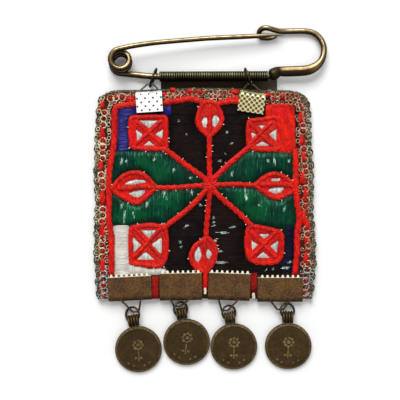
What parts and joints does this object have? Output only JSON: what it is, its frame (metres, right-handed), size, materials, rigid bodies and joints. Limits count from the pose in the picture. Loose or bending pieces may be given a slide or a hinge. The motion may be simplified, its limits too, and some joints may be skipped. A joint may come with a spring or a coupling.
{
  "type": "safety pin brooch",
  "caption": "Large safety pin with a wire-wrapped bar carrying a padded square of embroidered cloth on clips, with coins hanging from toothed crimps along its lower edge",
  "frame": {"origin": "middle of the brooch's outline, on the surface that it lies on", "axes": "+X along the pin from its coil to its bend, +Y up the face from the coins to the pin, +Z out of the embroidered face; the brooch lies on its back"},
  "size_m": [0.0852, 0.1278, 0.0079],
  "materials": {
    "pin_brass": "antique brass wire, dark in the hollows, worn bright along the top",
    "wrap_wire": "dark antique brass, fine close winding",
    "dark_wire": "blackened brass wire",
    "bright_clip": "bright nickel plate with small dents",
    "brass_clip": "pale antique brass with small dents",
    "crimp_brass": "brown antique brass with worn bright teeth",
    "embroidery": "satin stitch and couched cord in silky thread",
    "braid": "red cord and cream metallic loops",
    "coin_bronze": "dark worn bronze, bright on the rim and relief"
  },
  "bodies": {
    "brooch": {"pin_frame": "pin_brass", "wire_wrap": "wrap_wire", "ring_left": "dark_wire", "ring_right": "dark_wire", "clip_left": "bright_clip", "clip_right": "brass_clip", "cloth_panel": "embroidery", "border_braid": "braid", "crimp_1": "crimp_brass", "crimp_2": "crimp_brass", "crimp_3": "crimp_brass", "crimp_4": "crimp_brass", "link_1": "dark_wire", "link_2": "dark_wire", "link_3": "dark_wire", "link_4": "dark_wire", "coin_1": "coin_bronze", "coin_2": "coin_bronze", "coin_3": "coin_bronze", "coin_4": "coin_bronze"},
    "coil": {"pin_coil": "pin_brass"},
    "arm": {"pin_arm": "pin_brass"}
  },
  "joints": [
    {"name": "squeeze", "type": "hinge", "parent": "brooch", "child": "coil", "pos_m": [-0.0332, 0.05035, 0.004], "axis": [0, 0, -1], "range_deg": [0, 9], "stiffness_Nm_per_rad": 0.05},
    {"name": "lift", "type": "hinge", "parent": "coil", "child": "arm", "pos_m": [-0.0332, 0.0546, 0.00635], "axis": [0, -1, 0], "range_deg": [0, 25], "stiffness_Nm_per_rad": 0.03}
  ]
}
